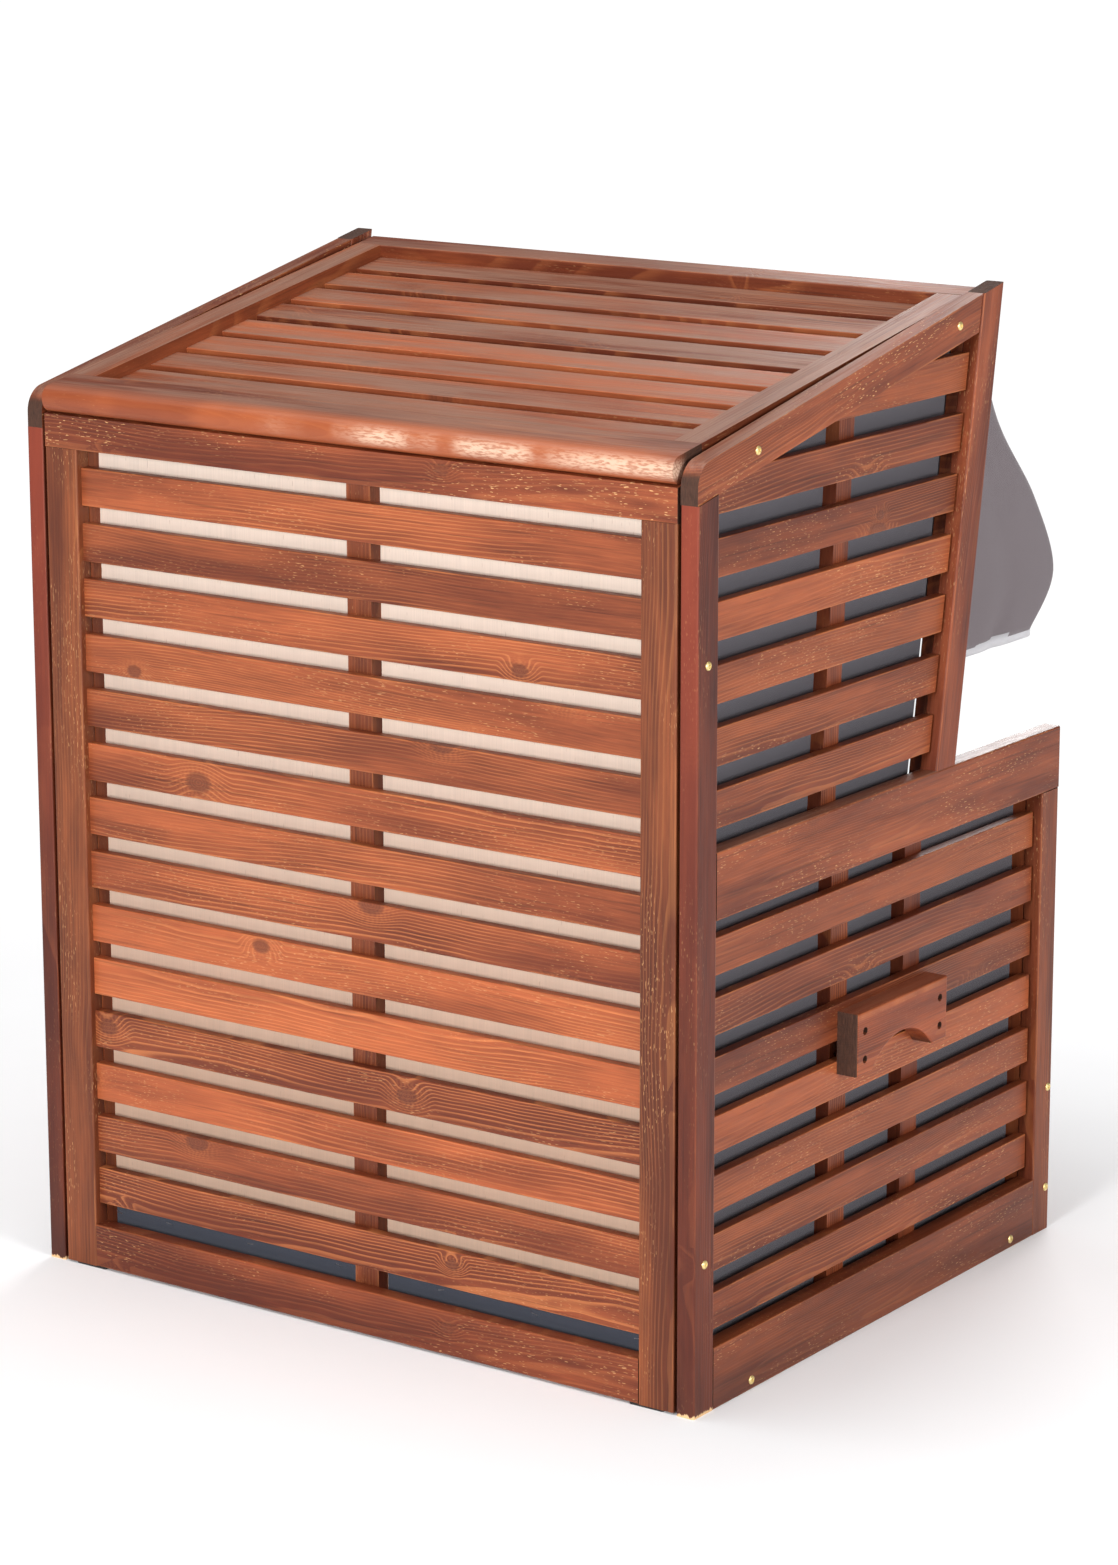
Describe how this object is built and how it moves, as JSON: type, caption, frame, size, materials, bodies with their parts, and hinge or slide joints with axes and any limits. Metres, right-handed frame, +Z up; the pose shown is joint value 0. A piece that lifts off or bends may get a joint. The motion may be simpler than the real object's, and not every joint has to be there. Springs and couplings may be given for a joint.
{
  "type": "roofed beach chair",
  "caption": "Slatted pine beach chair with a fixed hood, pull-out footrests, a swinging awning bow, side handles and padded seats.",
  "frame": {"origin": "on the floor, under the middle of the overall box", "axes": "+Z up, the open front towards -Y, +X to the left of a person sitting in it"},
  "size_m": [1.244, 1.075, 1.5211],
  "materials": {
    "stained_pine": "red-brown stain, satin, knots and scuffs",
    "weathered_pine": "stain greyed by weather",
    "plywood": "raw pale plywood",
    "lining_cloth": "plain-weave blue-grey cloth over board",
    "cushion_cloth": "plain-weave grey cloth",
    "awning_cloth": "matt grey awning cloth",
    "brass": "yellow plated",
    "dark_screws": "stained with the wood",
    "grey_tube": "satin",
    "black_plastic": "matt"
  },
  "bodies": {
    "chair": {"awning_cloth": "awning_cloth", "awning_pivots": "grey_tube", "back_battens": "stained_pine", "back_board": "plywood", "back_bottom_rail": "stained_pine", "back_slats": "stained_pine", "back_stiles": "stained_pine", "back_top_rail": "stained_pine", "backrest_board": "plywood", "floor_crossbars": "stained_pine", "footrest_runners": "stained_pine", "frame_screws": "brass", "front_bottom_rail": "stained_pine", "front_posts": "stained_pine", "front_top_rail": "stained_pine", "glides": "black_plastic", "handle_screws": "dark_screws", "left_armrest": "stained_pine", "left_back_cushion": "cushion_cloth", "left_base_lining": "lining_cloth", "left_base_slats": "stained_pine", "left_battens": "stained_pine", "left_bottom_rail": "stained_pine", "left_front_stile": "stained_pine", "left_handle": "stained_pine", "left_hood_lining": "lining_cloth", "left_hood_slats": "stained_pine", "left_hood_stile": "stained_pine", "left_rear_stile": "stained_pine", "left_seat_cushion": "cushion_cloth", "left_top_rail": "stained_pine", "right_armrest": "stained_pine", "right_back_cushion": "cushion_cloth", "right_base_lining": "lining_cloth", "right_base_slats": "stained_pine", "right_battens": "stained_pine", "right_bottom_rail": "stained_pine", "right_front_stile": "stained_pine", "right_handle": "stained_pine", "right_hood_lining": "lining_cloth", "right_hood_slats": "stained_pine", "right_hood_stile": "stained_pine", "right_rear_stile": "stained_pine", "right_seat_cushion": "cushion_cloth", "right_top_rail": "stained_pine", "roof_front_rail": "weathered_pine", "roof_lining": "lining_cloth", "roof_rear_rail": "weathered_pine", "roof_side_rails": "weathered_pine", "roof_slats": "weathered_pine", "seat_board": "plywood"},
    "awning_bow": {"awning_bow": "grey_tube"},
    "left_footrest": {"left_footrest_cushion": "cushion_cloth", "left_footrest_frame": "stained_pine", "left_footrest_pull": "stained_pine", "left_footrest_slats": "stained_pine"},
    "right_footrest": {"right_footrest_cushion": "cushion_cloth", "right_footrest_frame": "stained_pine", "right_footrest_pull": "stained_pine", "right_footrest_slats": "stained_pine"}
  },
  "joints": [
    {"name": "awning_hinge", "type": "hinge", "parent": "chair", "child": "awning_bow", "pos_m": [0, -0.1825, 1], "axis": [-1, 0, 0], "range_deg": [0, 45], "deforming": ["awning_cloth"]},
    {"name": "left_footrest_slide", "type": "slide", "parent": "chair", "child": "left_footrest", "axis": [0, -1, 0], "range_m": [0, 0.4]},
    {"name": "right_footrest_slide", "type": "slide", "parent": "chair", "child": "right_footrest", "axis": [0, -1, 0], "range_m": [0, 0.4]}
  ]
}
